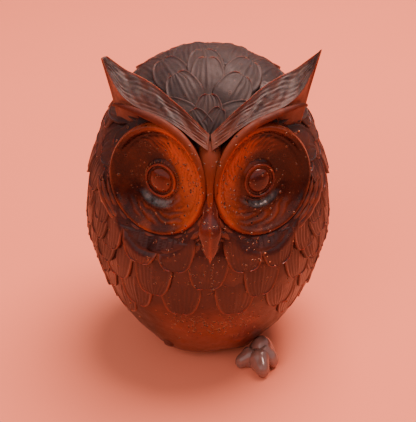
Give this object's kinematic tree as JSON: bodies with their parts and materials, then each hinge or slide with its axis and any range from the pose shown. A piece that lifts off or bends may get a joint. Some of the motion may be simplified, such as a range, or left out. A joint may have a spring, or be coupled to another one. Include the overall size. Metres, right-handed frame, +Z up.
{
  "type": "owl figurine",
  "caption": "Small round horned owl figurine cast in translucent amber-brown resin, with dished facial discs, a hooked beak, scalloped plumage and one foot.",
  "frame": {"origin": "centre of the flat underside that the owl stands on", "axes": "+Z up, the owl faces -Y, and its own left side is +X"},
  "size_m": [0.0464, 0.0474, 0.0624],
  "materials": {
    "amber_body": "translucent cast resin, satin from the mould",
    "amber_face": "translucent cast resin, glossy, lit orange from behind",
    "dark_amber_eye": "translucent cast resin, glossy",
    "amber_beak": "translucent cast resin, glossy",
    "frosted_plumage": "translucent cast resin, frosted grey-brown",
    "amber_plumage": "translucent cast resin, satin, with fine barbs",
    "clear_foot": "thin, nearly clear cast resin, glossy"
  },
  "bodies": {
    "root": {"trunk": "amber_body", "head": "amber_body", "left_facial_disc": "amber_face", "right_facial_disc": "amber_face", "left_disc_rim": "amber_face", "right_disc_rim": "amber_face", "bridge": "amber_face", "left_brow": "amber_face", "right_brow": "amber_face", "left_eye_ring": "dark_amber_eye", "right_eye_ring": "dark_amber_eye", "left_pupil": "dark_amber_eye", "right_pupil": "dark_amber_eye", "beak": "amber_beak", "forehead_feathers": "frosted_plumage", "crown_feathers": "frosted_plumage", "nape_feathers": "frosted_plumage", "left_ear_tuft": "frosted_plumage", "right_ear_tuft": "frosted_plumage", "left_wing": "amber_plumage", "right_wing": "amber_plumage", "left_flight_feathers": "amber_plumage", "right_flight_feathers": "amber_plumage", "breast_row_1": "amber_plumage", "breast_row_2": "amber_plumage", "breast_row_3": "amber_plumage", "belly_row": "amber_plumage", "back_feathers": "amber_plumage", "tail": "amber_plumage", "left_leg": "clear_foot", "left_inner_toe": "clear_foot", "left_middle_toe": "clear_foot", "left_outer_toe": "clear_foot", "right_foot_stub": "clear_foot"}
  },
  "joints": []
}
